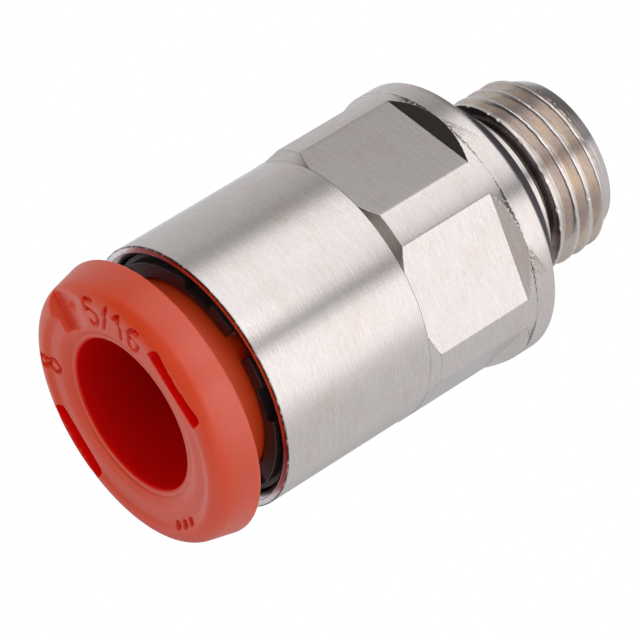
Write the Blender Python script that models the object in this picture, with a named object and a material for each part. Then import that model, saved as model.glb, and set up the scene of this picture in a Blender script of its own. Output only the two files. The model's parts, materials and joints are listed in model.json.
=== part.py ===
"""Straight push-to-connect fitting: 8 mm tube at one end, a G 1/8 parallel male thread at the other.

The fitting's axis is the Y axis. The tube enters from -Y, the thread points to +Y, and +Z is square to
one of the six wrench flats. The origin is on the axis, halfway along the fitting.
Outlines are lists of (y, r) in millimetres, and angles are in degrees from +Z towards +X.
"""

import math

import bmesh
import bpy
from mathutils import Matrix

MM = 0.001
OVERRUN = 0.4          # how far a cutter runs past the surface it cuts

# Driving dimensions, in millimetres
LENGTH = 28.3          # sleeve face to thread end, sleeve out
TUBE_DIAMETER = 8.0
THREAD_MAJOR_R = 4.864
THREAD_MINOR_R = 4.283
THREAD_PITCH = 0.907
THREAD_FLANK = 27.5    # half the angle between two flanks
THREAD_RUN_IN_ANGLE = 154
BODY_R = 7.2
COLLAR_R = 7.6
FLAT_DISTANCE = 7.0    # from the axis to a wrench flat
FLAT_COUNT = 6
SLEEVE_STAND_OUT = 4.2  # sleeve face to body mouth
PRESS_TRAVEL = 1.5     # how far the sleeve can be pushed in
CLEARANCE = 0.1        # between pieces that rest on each other
RUNNING_GAP = 0.15     # between pieces that move past each other

# Places along the axis
SLEEVE_FACE = -LENGTH / 2
MOUTH = SLEEVE_FACE + SLEEVE_STAND_OUT
CONE_START = MOUTH + 9.2
CONE_END = CONE_START + COLLAR_R - BODY_R
SEALING_FACE = MOUTH + 17.25
THREAD_START = SEALING_FACE + 2.85
THREAD_END = LENGTH / 2

# The smooth tapered pilot that leads the thread into its port
PILOT_LENGTH = 0.75
PILOT_START_R = 4.59
PILOT_END_R = 4.25

# The stepped hole through the body
CARTRIDGE_R = 6.6      # holds the retaining ring and the grip ring
CARTRIDGE_END = MOUTH + 4.2
SEAL_BORE_R = 6.2      # holds the support ring and the tube seal
SEAL_BORE_END = MOUTH + 8.0
SOCKET_R = TUBE_DIAMETER / 2 + 0.1
TUBE_STOP = MOUTH + 13.0
PASSAGE_R = 3.0

# The shoulder that carries the port O-ring, and the relief groove between it and the thread
SHOULDER_R = 4.75
GROOVE_START = SEALING_FACE + 2.3
GROOVE_R = 4.0
PORT_RING_SECTION_R = 0.7
RING_SEAT_R = 6.2      # the O-ring's shallow seat in the collar's back, inside the sealing face
RING_SEAT_DEPTH = 0.1

# The release sleeve
SLEEVE_BORE_R = TUBE_DIAMETER / 2 + 0.15
LEAD_IN_R = 5.05       # where the shallow lead-in to the bore starts on the face
DISH_R = 5.75          # the face is dished a little inside its soft edge
DISH_DEPTH = 0.14
SLEEVE_NECK_R = 5.35
LIP_R = SLEEVE_NECK_R + 0.5  # the lip near its nose, behind the retaining ring's shoulder
FINGER_COUNT = 4       # slits part the nose into fingers, so that the lip can snap in
SLIT_WIDTH = 0.6
FLANGE_THICKNESS = 2.27
FLANGE_ROUND_R = 0.97  # the soft edge around the flange's face
FLANGE_FACE_R = 6.26   # where that edge starts
FLANGE_RIM_R = 7.39    # centre of the small round at the flange's back edge
FLANGE_RIM_ROUND = 0.14
POCKET_ANGLES = (37.5, -140)
POCKET_R = 6.06
POCKET_LENGTH = 4.1
POCKET_WIDTH = 1.0
POCKET_CORNER_R = 0.36
POCKET_DEPTH = 0.9
SCOOP_ANGLE = -45      # the shallow scoop around the moulding gate, which runs out to the flange's edge
SCOOP_START_R = 4.8
SCOOP_DEPTH = 0.5
SCOOP_SIDES = (-1.5, 1.1)  # its two edges on the face, and between them the line where it is deepest
SCOOP_DEEPEST = -1.05

# The retaining ring, and the castle-shaped rim around the sleeve: half of its pattern, in degrees
# from its middle, which repeats on the other side of the ring
RING_R = CARTRIDGE_R - CLEARANCE
RING_BORE_R = SLEEVE_NECK_R + RUNNING_GAP
RIM_R = 6.3
THIN_RIM_R = 5.85
RIM_HEIGHT = 0.6
RING_END = MOUTH + 3.6
LIP_SEAT = MOUTH + 1.15  # the shoulder that keeps the sleeve in
RIM_MIDDLE = 36
GAP_END = 7
TAB_END = 21.5
THIN_END = 39
ARC_END = 81

# The grip ring
GRIP_FACE = MOUTH + 3.8
GRIP_THICKNESS = 0.3
GRIP_ROOT_R = 5.0
GRIP_TIP_R = TUBE_DIAMETER / 2 - 0.05
GRIP_LEAN = 0.7        # how far a tooth leans along the axis for each millimetre it reaches inwards
TOOTH_COUNT = 10
TOOTH_GAP = 0.5

# Facets around each piece: all divide by four, so every round piece reaches its full size on X and Z
BODY_FACETS = 60
INNER_FACETS = 40
THREAD_FACETS = 36


# ---------------------------------------------------------------- helpers

def clear_scene():
    for obj in list(bpy.data.objects):
        bpy.data.objects.remove(obj, do_unlink=True)


def material(name, colour, roughness, metallic):
    made = bpy.data.materials.new(name)
    made.use_nodes = True
    shader = made.node_tree.nodes["Principled BSDF"]
    shader.inputs["Base Color"].default_value = (*colour, 1)
    shader.inputs["Roughness"].default_value = roughness
    shader.inputs["Metallic"].default_value = metallic
    return made


def arc(y, r, radius, start, end, steps):
    """Points of an arc around (y, r). Its angles run from the +Y side towards the outside."""
    turns = [math.radians(start + (end - start) * i / steps) for i in range(steps + 1)]
    return [(y + radius * math.cos(a), r + radius * math.sin(a)) for a in turns]


def object_from(bm, name):
    """A mesh object from a bmesh in millimetres, its faces turned outwards."""
    bmesh.ops.recalc_face_normals(bm, faces=bm.faces)
    bmesh.ops.scale(bm, vec=(MM, MM, MM), verts=bm.verts)
    mesh = bpy.data.meshes.new(name)
    bm.to_mesh(mesh)
    bm.free()
    obj = bpy.data.objects.new(name, mesh)
    bpy.context.scene.collection.objects.link(obj)
    return obj


def turned(name, outline, facets, at=0):
    """A ring: a closed outline of (y, r) points, spun around the Y axis. Its origin is at y = at."""
    bm = bmesh.new()
    points = [bm.verts.new((0, y - at, r)) for y, r in outline]
    edges = [bm.edges.new((a, b)) for a, b in zip(points, points[1:] + points[:1])]
    bmesh.ops.spin(bm, geom=points + edges, cent=(0, 0, 0), axis=(0, 1, 0), angle=math.tau,
                   steps=facets, use_merge=True)
    bmesh.ops.remove_doubles(bm, verts=bm.verts, dist=1e-5)
    ring = object_from(bm, name)
    ring.location.y = at * MM
    return ring


def prism(bm, corners, low, high, turn):
    """Adds a prism: (y, r) corners drawn out from x = low to high, then turned around the Y axis."""
    face = bm.faces.new([bm.verts.new((low, y, r)) for y, r in corners])
    drawn = bmesh.ops.extrude_face_region(bm, geom=[face])["geom"]
    moved = [part for part in drawn if isinstance(part, bmesh.types.BMVert)]
    bmesh.ops.translate(bm, vec=(high - low, 0, 0), verts=moved)
    spun = Matrix.Rotation(math.radians(turn), 3, "Y")
    bmesh.ops.rotate(bm, cent=(0, 0, 0), matrix=spun, verts=list(face.verts) + moved)


def sector(bm, inner, outer, front, back, start, end):
    """Adds a block that fills part of a ring, from one angle to another."""
    corners = [(front, inner), (back, inner), (back, outer), (front, outer)]
    steps = max(1, round((end - start) / 6))
    rows = []
    for i in range(steps + 1):
        a = math.radians(start + (end - start) * i / steps)
        rows.append([bm.verts.new((r * math.sin(a), y, r * math.cos(a))) for y, r in corners])
    for row, following in zip(rows, rows[1:]):
        for i in range(4):
            j = (i + 1) % 4
            bm.faces.new((row[i], row[j], following[j], following[i]))
    bm.faces.new(reversed(rows[0]))
    bm.faces.new(rows[-1])


def combine(target, tool, operation):
    """A Boolean modifier that joins or cuts the target with a hidden tool."""
    tool.hide_render = True
    tool.display_type = "WIRE"
    step = target.modifiers.new(tool.name, "BOOLEAN")
    step.operation = operation
    step.object = tool
    step.solver = "EXACT"


def carry(parent, *pieces):
    """Makes the pieces move with their parent, from where they stand on the axis."""
    for piece in pieces:
        piece.parent = parent
        piece.location.y -= parent.location.y


def finish(obj, surface):
    """Gives a piece its material, and shades its round faces smooth."""
    obj.data.materials.append(surface)
    obj.data.shade_smooth()
    obj.data.set_sharp_from_angle(angle=math.radians(30))
    return obj


# ---------------------------------------------------------------- the body

def wrench_flat_cutter():
    """Six prisms that mill the flats. The mill leaves a 45 degree shoulder in front of the collar."""
    front = CONE_START + 0.05
    shoulder = MOUTH + 15.35
    rise = COLLAR_R + OVERRUN - FLAT_DISTANCE
    half_width = 3.2
    corners = [
        (front, FLAT_DISTANCE),
        (shoulder, FLAT_DISTANCE),
        (shoulder + rise, FLAT_DISTANCE + rise),
        (front, FLAT_DISTANCE + rise),
    ]
    bm = bmesh.new()
    for i in range(FLAT_COUNT):
        prism(bm, corners, -half_width, half_width, 360 * i / FLAT_COUNT)
    return object_from(bm, "wrench_flat_cutter")


def thread_ridge():
    """The thread's ridge: a trapezium swept along a right-hand helix, its foot sunk into the core.

    It starts low, inside the land behind the groove, and rises to its full height over the run-in.
    """
    foot_r = THREAD_MINOR_R - 0.12
    crest_half = 0.06
    slope = math.tan(math.radians(THREAD_FLANK))
    foot_half = crest_half + (THREAD_MAJOR_R - foot_r) * slope
    run_in = THREAD_FACETS // 4
    first = THREAD_START + foot_half + 0.05
    steps = round((THREAD_END + THREAD_PITCH - first) / THREAD_PITCH * THREAD_FACETS)
    bm = bmesh.new()
    rows = []
    for i in range(steps + 1):
        height = (THREAD_MAJOR_R - foot_r) * min(1, (i + 3) / run_in)
        crest = foot_half - height * slope
        section = [
            (-foot_half, foot_r),
            (foot_half, foot_r),
            (crest, foot_r + height),
            (-crest, foot_r + height),
        ]
        a = math.radians(THREAD_RUN_IN_ANGLE) + math.tau * i / THREAD_FACETS
        middle = first + THREAD_PITCH * i / THREAD_FACETS
        rows.append([bm.verts.new((r * math.sin(a), middle + y, r * math.cos(a))) for y, r in section])
    for row, following in zip(rows, rows[1:]):
        for i in range(4):
            j = (i + 1) % 4
            bm.faces.new((row[i], row[j], following[j], following[i]))
    bm.faces.new(reversed(rows[0]))
    bm.faces.new(rows[-1])
    return object_from(bm, "thread_ridge")


def thread_end_cutter():
    """Everything past the thread's end: a ring that turns its chamfer and pilot, joined to a disc."""
    pilot_start = THREAD_END - PILOT_LENGTH
    chamfer_start = pilot_start - 0.28
    wide = THREAD_MAJOR_R + 1
    outline = [
        (chamfer_start, THREAD_MAJOR_R + 0.04),
        (chamfer_start, wide),
        (THREAD_END + 2, wide),
        (THREAD_END + 2, PASSAGE_R - 0.5),
        (THREAD_END, PASSAGE_R - 0.5),
        (THREAD_END, PILOT_END_R),
        (pilot_start, PILOT_START_R),
    ]
    return turned("thread_end_cutter", outline, BODY_FACETS)


def make_body(surface):
    """The nickel-plated brass body, with its stepped hole, wrench flats, shoulder, groove and thread."""
    mouth_edge = 0.1
    collar_edge = 0.2
    land_r = 4.84
    land_end = THREAD_START + 0.25
    land_slope = (land_r - THREAD_MINOR_R) * math.tan(math.radians(THREAD_FLANK))
    passage_edge = 0.3
    outline = [
        (MOUTH, BODY_R - mouth_edge),
        (MOUTH + mouth_edge, BODY_R),
        (CONE_START, BODY_R),
        (CONE_END, COLLAR_R),
        (SEALING_FACE - collar_edge, COLLAR_R),
        (SEALING_FACE, COLLAR_R - collar_edge),
        (SEALING_FACE, RING_SEAT_R),
        (SEALING_FACE - RING_SEAT_DEPTH, RING_SEAT_R),
        (SEALING_FACE - RING_SEAT_DEPTH, SHOULDER_R),
        (GROOVE_START, SHOULDER_R),
        (GROOVE_START, GROOVE_R),
        (THREAD_START, GROOVE_R),
        (THREAD_START, land_r),
        (land_end, land_r),
        (land_end + land_slope, THREAD_MINOR_R),
        (THREAD_END - PILOT_LENGTH - 0.05, THREAD_MINOR_R),
        (THREAD_END - PILOT_LENGTH, PILOT_START_R + 0.05),
        (THREAD_END + 0.5, PILOT_START_R + 0.05),
        (THREAD_END + 0.5, PASSAGE_R + passage_edge + 0.5),
        (THREAD_END - passage_edge, PASSAGE_R),
        (TUBE_STOP, PASSAGE_R),
        (TUBE_STOP, SOCKET_R),
        (SEAL_BORE_END, SOCKET_R),
        (SEAL_BORE_END, SEAL_BORE_R),
        (CARTRIDGE_END, SEAL_BORE_R),
        (CARTRIDGE_END, CARTRIDGE_R),
        (MOUTH + 0.27, CARTRIDGE_R),
        (MOUTH, CARTRIDGE_R + 0.27),
    ]
    body = turned("body", outline, BODY_FACETS)
    combine(body, wrench_flat_cutter(), "DIFFERENCE")
    combine(body, thread_ridge(), "UNION")
    combine(body, thread_end_cutter(), "DIFFERENCE")
    return finish(body, surface)


# ---------------------------------------------------------------- the pieces inside the mouth

def pocket_cutter():
    """The long pockets in the sleeve's face, with rounded corners."""
    bm = bmesh.new()
    reach = POCKET_LENGTH / 2 - POCKET_CORNER_R
    rise = POCKET_WIDTH / 2 - POCKET_CORNER_R
    for angle in POCKET_ANGLES:
        edge = []
        for across, out, start in ((1, -1, -90), (1, 1, 0), (-1, 1, 90), (-1, -1, 180)):
            for i in range(4):
                a = math.radians(start + 30 * i)
                edge.append((across * reach + POCKET_CORNER_R * math.cos(a),
                             POCKET_R + out * rise + POCKET_CORNER_R * math.sin(a)))
        rim = [bm.verts.new((x, SLEEVE_FACE - OVERRUN, z)) for x, z in edge]
        drawn = bmesh.ops.extrude_face_region(bm, geom=[bm.faces.new(rim)])["geom"]
        moved = [part for part in drawn if isinstance(part, bmesh.types.BMVert)]
        bmesh.ops.translate(bm, vec=(0, OVERRUN + POCKET_DEPTH, 0), verts=moved)
        spun = Matrix.Rotation(math.radians(angle), 3, "Y")
        bmesh.ops.rotate(bm, cent=(0, 0, 0), matrix=spun, verts=rim + moved)
    return object_from(bm, "pocket_cutter")


def scoop_cutter():
    """A bar with two slanting undersides, laid along a radius, that leaves the scoop in the face."""
    low, high = SCOOP_SIDES
    edge = [
        (high, SLEEVE_FACE - OVERRUN),
        (low, SLEEVE_FACE - OVERRUN),
        (low, SLEEVE_FACE + DISH_DEPTH),
        (SCOOP_DEEPEST, SLEEVE_FACE + SCOOP_DEPTH),
        (high, SLEEVE_FACE + DISH_DEPTH),
    ]
    bm = bmesh.new()
    rim = [bm.verts.new((x, y, SCOOP_START_R)) for x, y in edge]
    drawn = bmesh.ops.extrude_face_region(bm, geom=[bm.faces.new(rim)])["geom"]
    moved = [part for part in drawn if isinstance(part, bmesh.types.BMVert)]
    bmesh.ops.translate(bm, vec=(0, 0, BODY_R + 1 - SCOOP_START_R), verts=moved)
    spun = Matrix.Rotation(math.radians(SCOOP_ANGLE), 3, "Y")
    bmesh.ops.rotate(bm, cent=(0, 0, 0), matrix=spun, verts=rim + moved)
    return object_from(bm, "scoop_cutter")


def slit_cutter(nose):
    """The slits between the nose's fingers."""
    corners = [
        (MOUTH + 0.4, SLEEVE_BORE_R - OVERRUN),
        (nose + OVERRUN, SLEEVE_BORE_R - OVERRUN),
        (nose + OVERRUN, LIP_R + OVERRUN),
        (MOUTH + 0.4, LIP_R + OVERRUN),
    ]
    bm = bmesh.new()
    for i in range(FINGER_COUNT):
        prism(bm, corners, -SLIT_WIDTH / 2, SLIT_WIDTH / 2, 360 * (i + 0.3) / FINGER_COUNT)
    return object_from(bm, "slit_cutter")


def make_release_sleeve(surface):
    """The orange sleeve: a round-edged flange to press on, and a nose that opens the grip ring."""
    flange_back = SLEEVE_FACE + FLANGE_THICKNESS
    rim_y = flange_back - FLANGE_RIM_ROUND
    round_y = SLEEVE_FACE + FLANGE_ROUND_R
    # The flank is the common tangent of the two rounds
    along = rim_y - round_y
    across = FLANGE_RIM_R - FLANGE_FACE_R
    lean = math.degrees(
        math.atan2(across, along)
        - math.asin((FLANGE_ROUND_R - FLANGE_RIM_ROUND) / math.hypot(along, across))
    )
    lip_front = LIP_SEAT + RUNNING_GAP
    nose = GRIP_FACE - PRESS_TRAVEL
    outline = [
        (SLEEVE_FACE + 0.45, SLEEVE_BORE_R),
        (SLEEVE_FACE + 0.35, SLEEVE_BORE_R + 0.3),
        (SLEEVE_FACE + DISH_DEPTH, LEAD_IN_R),
        (SLEEVE_FACE + DISH_DEPTH, DISH_R),
    ]
    outline += arc(round_y, FLANGE_FACE_R, FLANGE_ROUND_R, 180, 90 + lean, 4)
    outline += arc(rim_y, FLANGE_RIM_R, FLANGE_RIM_ROUND, 90 + lean, 0, 2)
    outline += [
        (flange_back, SLEEVE_NECK_R),
        (lip_front, SLEEVE_NECK_R),
        (lip_front, LIP_R),
        (lip_front + 0.4, LIP_R),
        (nose, SLEEVE_NECK_R - 0.65),
        (nose, SLEEVE_BORE_R),
    ]
    sleeve = turned("release_sleeve", outline, BODY_FACETS, at=SLEEVE_FACE)
    combine(sleeve, pocket_cutter(), "DIFFERENCE")
    combine(sleeve, scoop_cutter(), "DIFFERENCE")
    combine(sleeve, slit_cutter(nose), "DIFFERENCE")
    return finish(sleeve, surface)


def rim_cutter():
    """What the castle-shaped rim lacks: gaps, and notches that leave only its thin inner half."""
    bm = bmesh.new()
    front = MOUTH - OVERRUN
    back = MOUTH + RIM_HEIGHT + 0.06
    for middle in (RIM_MIDDLE, RIM_MIDDLE + 180):
        sector(bm, RING_BORE_R - OVERRUN, RIM_R + CLEARANCE, front, back,
               middle - GAP_END, middle + GAP_END)
        sector(bm, RING_BORE_R - OVERRUN, RIM_R + CLEARANCE, front, back,
               middle + ARC_END, middle + 180 - ARC_END)
        for start in (middle + TAB_END, middle - THIN_END):
            sector(bm, THIN_RIM_R, RIM_R + CLEARANCE, front, back,
                   start, start + THIN_END - TAB_END)
    return object_from(bm, "rim_cutter")


def make_retaining_ring(surface):
    """The black ring that closes the body's mouth and keeps the sleeve and the grip ring in."""
    skirt_r = LIP_R + RUNNING_GAP
    outline = [
        (MOUTH + RIM_HEIGHT, RING_R),
        (RING_END, RING_R),
        (RING_END, skirt_r),
        (LIP_SEAT, skirt_r),
        (LIP_SEAT, RING_BORE_R),
        (MOUTH, RING_BORE_R),
        (MOUTH, RIM_R),
        (MOUTH + RIM_HEIGHT, RIM_R),
    ]
    ring = turned("retaining_ring", outline, BODY_FACETS, at=MOUTH)
    combine(ring, rim_cutter(), "DIFFERENCE")
    return finish(ring, surface)


def tooth_gap_cutter():
    bm = bmesh.new()
    corners = [
        (GRIP_FACE - 1, GRIP_TIP_R - OVERRUN),
        (GRIP_FACE + 3, GRIP_TIP_R - OVERRUN),
        (GRIP_FACE + 3, GRIP_ROOT_R),
        (GRIP_FACE - 1, GRIP_ROOT_R),
    ]
    for i in range(TOOTH_COUNT):
        prism(bm, corners, -TOOTH_GAP / 2, TOOTH_GAP / 2, 360 * (i + 0.5) / TOOTH_COUNT)
    return object_from(bm, "tooth_gap_cutter")


def make_grip_ring(surface):
    """The stainless washer whose leaning teeth bite the tube."""
    reach = GRIP_ROOT_R - GRIP_TIP_R
    outline = [
        (GRIP_FACE, CARTRIDGE_R - RUNNING_GAP),
        (GRIP_FACE + GRIP_THICKNESS, CARTRIDGE_R - RUNNING_GAP),
        (GRIP_FACE + GRIP_THICKNESS, GRIP_ROOT_R),
        (GRIP_FACE + GRIP_THICKNESS + GRIP_LEAN * reach, GRIP_TIP_R),
        (GRIP_FACE + GRIP_LEAN * reach, GRIP_TIP_R),
        (GRIP_FACE, GRIP_ROOT_R),
    ]
    ring = turned("grip_ring", outline, INNER_FACETS, at=GRIP_FACE)
    combine(ring, tooth_gap_cutter(), "DIFFERENCE")
    return finish(ring, surface)


def make_support_ring(surface):
    """The spacer between the grip ring and the seal, dished so that the teeth can bend back."""
    front = GRIP_FACE + GRIP_THICKNESS + RUNNING_GAP
    back = MOUTH + 5.6
    dish_r = GRIP_ROOT_R + 0.2
    outline = [
        (front, SEAL_BORE_R - CLEARANCE),
        (back, SEAL_BORE_R - CLEARANCE),
        (back, SLEEVE_BORE_R),
        (front + dish_r - SLEEVE_BORE_R, SLEEVE_BORE_R),
        (front, dish_r),
    ]
    return finish(turned("support_ring", outline, INNER_FACETS, at=front), surface)


def make_o_ring(name, middle, centre_r, section_r, surface):
    outline = arc(middle, centre_r, section_r, 0, 360, 10)[:-1]
    return finish(turned(name, outline, INNER_FACETS, at=middle), surface)


def make_fitting():
    nickel = material("nickel_plated_brass", (0.80, 0.77, 0.73), 0.28, 1.0)
    orange = material("orange_acetal", (0.75, 0.10, 0.045), 0.38, 0.0)
    black = material("black_plastic", (0.02, 0.018, 0.02), 0.45, 0.0)
    steel = material("stainless_steel", (0.62, 0.62, 0.62), 0.25, 1.0)
    natural = material("natural_plastic", (0.75, 0.73, 0.68), 0.50, 0.0)
    rubber = material("nitrile_rubber", (0.015, 0.017, 0.022), 0.55, 0.0)

    body = make_body(nickel)
    retaining_ring = make_retaining_ring(black)
    support_ring = make_support_ring(natural)

    seal_inner = TUBE_DIAMETER / 2 - 0.1
    seal_outer = SEAL_BORE_R - CLEARANCE
    tube_seal = make_o_ring("tube_seal", SEAL_BORE_END - CLEARANCE - (seal_outer - seal_inner) / 2,
                            (seal_outer + seal_inner) / 2, (seal_outer - seal_inner) / 2, rubber)
    port_o_ring = make_o_ring("port_o_ring", SEALING_FACE + CLEARANCE / 2 + PORT_RING_SECTION_R,
                              SHOULDER_R + CLEARANCE / 2 + PORT_RING_SECTION_R, PORT_RING_SECTION_R, rubber)

    grip_ring = make_grip_ring(steel)
    release_sleeve = make_release_sleeve(orange)

    carry(body, retaining_ring, support_ring, tube_seal, port_o_ring)
    # The grip ring turns in the body, and the sleeve turns with it and slides through it
    carry(grip_ring, release_sleeve)
    carry(body, grip_ring)


clear_scene()
make_fitting()
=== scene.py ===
"""The looks of a straight push-to-connect fitting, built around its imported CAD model.

The fitting's axis is the Y axis, the tube end is at -Y and +Z is square to one wrench flat.
Shapes are worked out in millimetres. An outline is a list of (y, r) points, and an angle is in degrees
from +Z towards +X.
"""

import json
import math

import bmesh
import bpy
import numpy as np
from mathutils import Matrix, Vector


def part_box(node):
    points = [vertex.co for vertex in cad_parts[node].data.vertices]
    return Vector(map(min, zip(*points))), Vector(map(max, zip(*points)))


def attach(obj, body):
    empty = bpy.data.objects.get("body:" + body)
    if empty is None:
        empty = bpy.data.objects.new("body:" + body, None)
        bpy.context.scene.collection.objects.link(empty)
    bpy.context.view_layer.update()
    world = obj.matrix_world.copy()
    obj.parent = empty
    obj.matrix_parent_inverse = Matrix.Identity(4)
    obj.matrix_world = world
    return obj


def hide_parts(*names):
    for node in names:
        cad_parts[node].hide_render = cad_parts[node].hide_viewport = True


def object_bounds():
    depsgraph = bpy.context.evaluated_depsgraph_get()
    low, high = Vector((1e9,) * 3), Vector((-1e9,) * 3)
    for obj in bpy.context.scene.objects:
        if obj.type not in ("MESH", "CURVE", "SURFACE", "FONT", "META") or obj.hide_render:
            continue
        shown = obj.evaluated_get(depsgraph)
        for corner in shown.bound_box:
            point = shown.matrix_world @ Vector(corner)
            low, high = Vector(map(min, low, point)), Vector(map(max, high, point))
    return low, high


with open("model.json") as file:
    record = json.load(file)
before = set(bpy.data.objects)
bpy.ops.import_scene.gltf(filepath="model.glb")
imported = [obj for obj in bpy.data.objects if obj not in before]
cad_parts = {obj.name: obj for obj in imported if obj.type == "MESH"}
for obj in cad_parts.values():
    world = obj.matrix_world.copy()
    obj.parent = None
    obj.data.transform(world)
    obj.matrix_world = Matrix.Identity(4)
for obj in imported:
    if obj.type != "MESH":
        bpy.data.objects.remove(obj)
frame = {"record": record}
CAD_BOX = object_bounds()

MM = 0.001

# ---------------------------------------------------------------- places taken from the frame


def node_span(node):
    low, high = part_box(node)
    return low / MM, high / MM


def mount_place(name):
    for mount in frame["record"]["mounts"]:
        if mount["name"] == name:
            return Vector(mount["pos_m"]) / MM
    raise LookupError(name)


body_low, body_high = node_span("body")
sleeve_low, sleeve_high = node_span("release_sleeve")
ring_high = node_span("retaining_ring")[1]
grip_low, grip_high = node_span("grip_ring")
support_low, support_high = node_span("support_ring")
seal_low, seal_high = node_span("tube_seal")
port_ring_low, port_ring_high = node_span("port_o_ring")

MOUTH = body_low.y
THREAD_END = body_high.y
COLLAR_R = body_high.z
SEALING_FACE = mount_place("sealing_face").y
TUBE_STOP = mount_place("tube_stop").y
FLAT_DISTANCE = mount_place("wrench_flat_top").z
SLEEVE_FACE = sleeve_low.y
SLEEVE_NOSE = sleeve_high.y

# ---------------------------------------------------------------- dimensions, in millimetres

CLEARANCE = 0.1               # between pieces that rest on each other
RUNNING_GAP = 0.15            # between pieces that move past each other
COLLAR_RISE = 0.4             # how far the collar stands out from the barrel

BODY_R = COLLAR_R - COLLAR_RISE
CONE_START = MOUTH + 9.2
CONE_END = CONE_START + COLLAR_R - BODY_R
FLAT_START = CONE_START + 0.012
FLAT_END = MOUTH + 15.35      # where the mill leaves a 45 degree shoulder in front of the collar
FLAT_COUNT = 6
CARTRIDGE_R = ring_high.z + CLEARANCE
CARTRIDGE_END = MOUTH + 4.2
SEAL_BORE_R = support_high.z + CLEARANCE
SEAL_BORE_END = MOUTH + 8.0
TUBE_R = 4.0
SOCKET_R = TUBE_R + CLEARANCE
PASSAGE_R = 3.0
PASSAGE_CHAMFER = 0.3
MOUTH_CHAMFER = 0.27
RING_SEAT_R = 6.2             # the O-ring's shallow seat, inside the sealing face
RING_SEAT_DEPTH = 0.1
SHOULDER_R = 4.75             # carries the port O-ring
GROOVE_START = SEALING_FACE + 2.3
GROOVE_R = 4.0

THREAD_START = SEALING_FACE + 2.85
THREAD_MAJOR_R = 4.864
THREAD_MINOR_R = 4.283
THREAD_PITCH = 0.907
THREAD_SLOPE = math.tan(math.radians(27.5))
THREAD_RUN_IN_ANGLE = 154
THREAD_CREST_HALF = 0.085
THREAD_FOOT_R = THREAD_MINOR_R - 0.12  # the ridge's foot is sunk into the core
THREAD_FOOT_HALF = THREAD_CREST_HALF + (THREAD_MAJOR_R - THREAD_FOOT_R) * THREAD_SLOPE
RIDGE_START = THREAD_START + THREAD_FOOT_HALF + 0.05
THREAD_LAND_R = 4.84
THREAD_LAND_END = THREAD_START + 0.25
PILOT_LENGTH = 0.75           # the smooth taper past the thread
PILOT_START_R = 4.59
PILOT_END_R = 4.25
CHAMFER_SLOPE = 1.1           # of the thread's own end, down to the pilot

SLEEVE_BORE_R = TUBE_R + RUNNING_GAP
SLEEVE_NECK_R = 5.35
LIP_R = SLEEVE_NECK_R + 0.5
LEAD_IN_R = 5.05
DISH_R = 5.75                 # the face is dished a little inside its soft edge
DISH_DEPTH = 0.14
FLANGE_BACK = SLEEVE_FACE + 2.27
FLANGE_ROUND_R = 0.97
FLANGE_FACE_R = 6.26
FLANGE_RIM_ROUND = 0.14
FLANGE_RIM_R = sleeve_high.z - FLANGE_RIM_ROUND
POCKET_ANGLES = (37.5, -140)
POCKET_R = 6.06
POCKET_LENGTH = 4.1
POCKET_WIDTH = 1.0
POCKET_CORNER_R = 0.36
POCKET_DEPTH = 0.9
POCKET_WALL_SLOPE = 8
SCOOP_ANGLE = -45
SCOOP_START_R = 4.8
SCOOP_DEPTH = 0.5
SCOOP_SIDES = (-1.5, 1.1)     # its two edges on the face, and between them the line where it is deepest
SCOOP_DEEPEST = -1.05
SCOOP_END_SLOPE = 1.5
GATE_PLACE = (6.1, 0.3)       # the moulding gate's mark in the scoop: out along the radius, and to its side
GATE_R = 0.2
GATE_HEIGHT = 0.12
MARK_R = 5.9                  # middle of the size marks
MARK_HEIGHT = 1.45
MARK_STROKE = 0.12            # half the width of a stroke
MARK_DEPTH = 0.16
MARK_WALL_SLOPE = 3
DOT_R = 0.24
SLIT_WIDTH = 0.6
SLIT_START = MOUTH + 0.4
FINGER_COUNT = 4

RIM_R = 6.3
THIN_RIM_R = 5.85
RIM_HEIGHT = 0.6
RING_BORE_R = SLEEVE_NECK_R + RUNNING_GAP
SKIRT_R = LIP_R + RUNNING_GAP
LIP_SEAT = MOUTH + 1.15
RIM_MIDDLE = 36
RIM_GAP_END = 7
RIM_TAB_END = 21.5
RIM_THIN_END = 39
RIM_ARC_END = 81

GRIP_THICKNESS = 0.3
GRIP_ROOT_R = 5.0
GRIP_TIP_R = TUBE_R - 0.05     # the teeth bite a little into the tube
TOOTH_COUNT = 10
TOOTH_GAP = 0.5


# ---------------------------------------------------------------- mesh helpers

CORNER_STEPS = 5


def smooth_min(a, b, width):
    """The smaller of two values, its corner rounded over about this width."""
    return (a + b - np.sqrt((a - b) ** 2 + width ** 2)) / 2


def smooth_max(a, b, width):
    return -smooth_min(-a, -b, width)


def polar(y, r, angle):
    """Points from places along the axis, radii and angles, all broadcast together."""
    turn = np.radians(angle)
    x, y, z = np.broadcast_arrays(r * np.sin(turn), y, r * np.cos(turn))
    return np.stack((x, y, z), axis=-1)


def softened(corners):
    """A closed outline with rounded corners: each corner is (y, r, how far its rounding reaches)."""
    points = []
    for i, (y, r, reach) in enumerate(corners):
        here = np.array((y, r))
        if reach == 0:
            points.append(here)
            continue
        before = np.array(corners[i - 1][:2]) - here
        after = np.array(corners[(i + 1) % len(corners)][:2]) - here
        start = here + before / np.linalg.norm(before) * reach
        end = here + after / np.linalg.norm(after) * reach
        for t in np.linspace(0, 1, CORNER_STEPS + 1):
            points.append((1 - t) ** 2 * start + 2 * t * (1 - t) * here + t ** 2 * end)
    return np.array(points)


def arc(y, r, radius, start, end, steps):
    """Points of an arc around (y, r). Its angles run from the +Y side towards the outside."""
    turns = np.radians(np.linspace(start, end, steps + 1))
    return np.stack((y + radius * np.cos(turns), r + radius * np.sin(turns)), axis=-1)


def closed(grid, axis):
    """The grid with its first row or column repeated at the end."""
    return np.concatenate((grid, np.take(grid, [0], axis)), axis)


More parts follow.
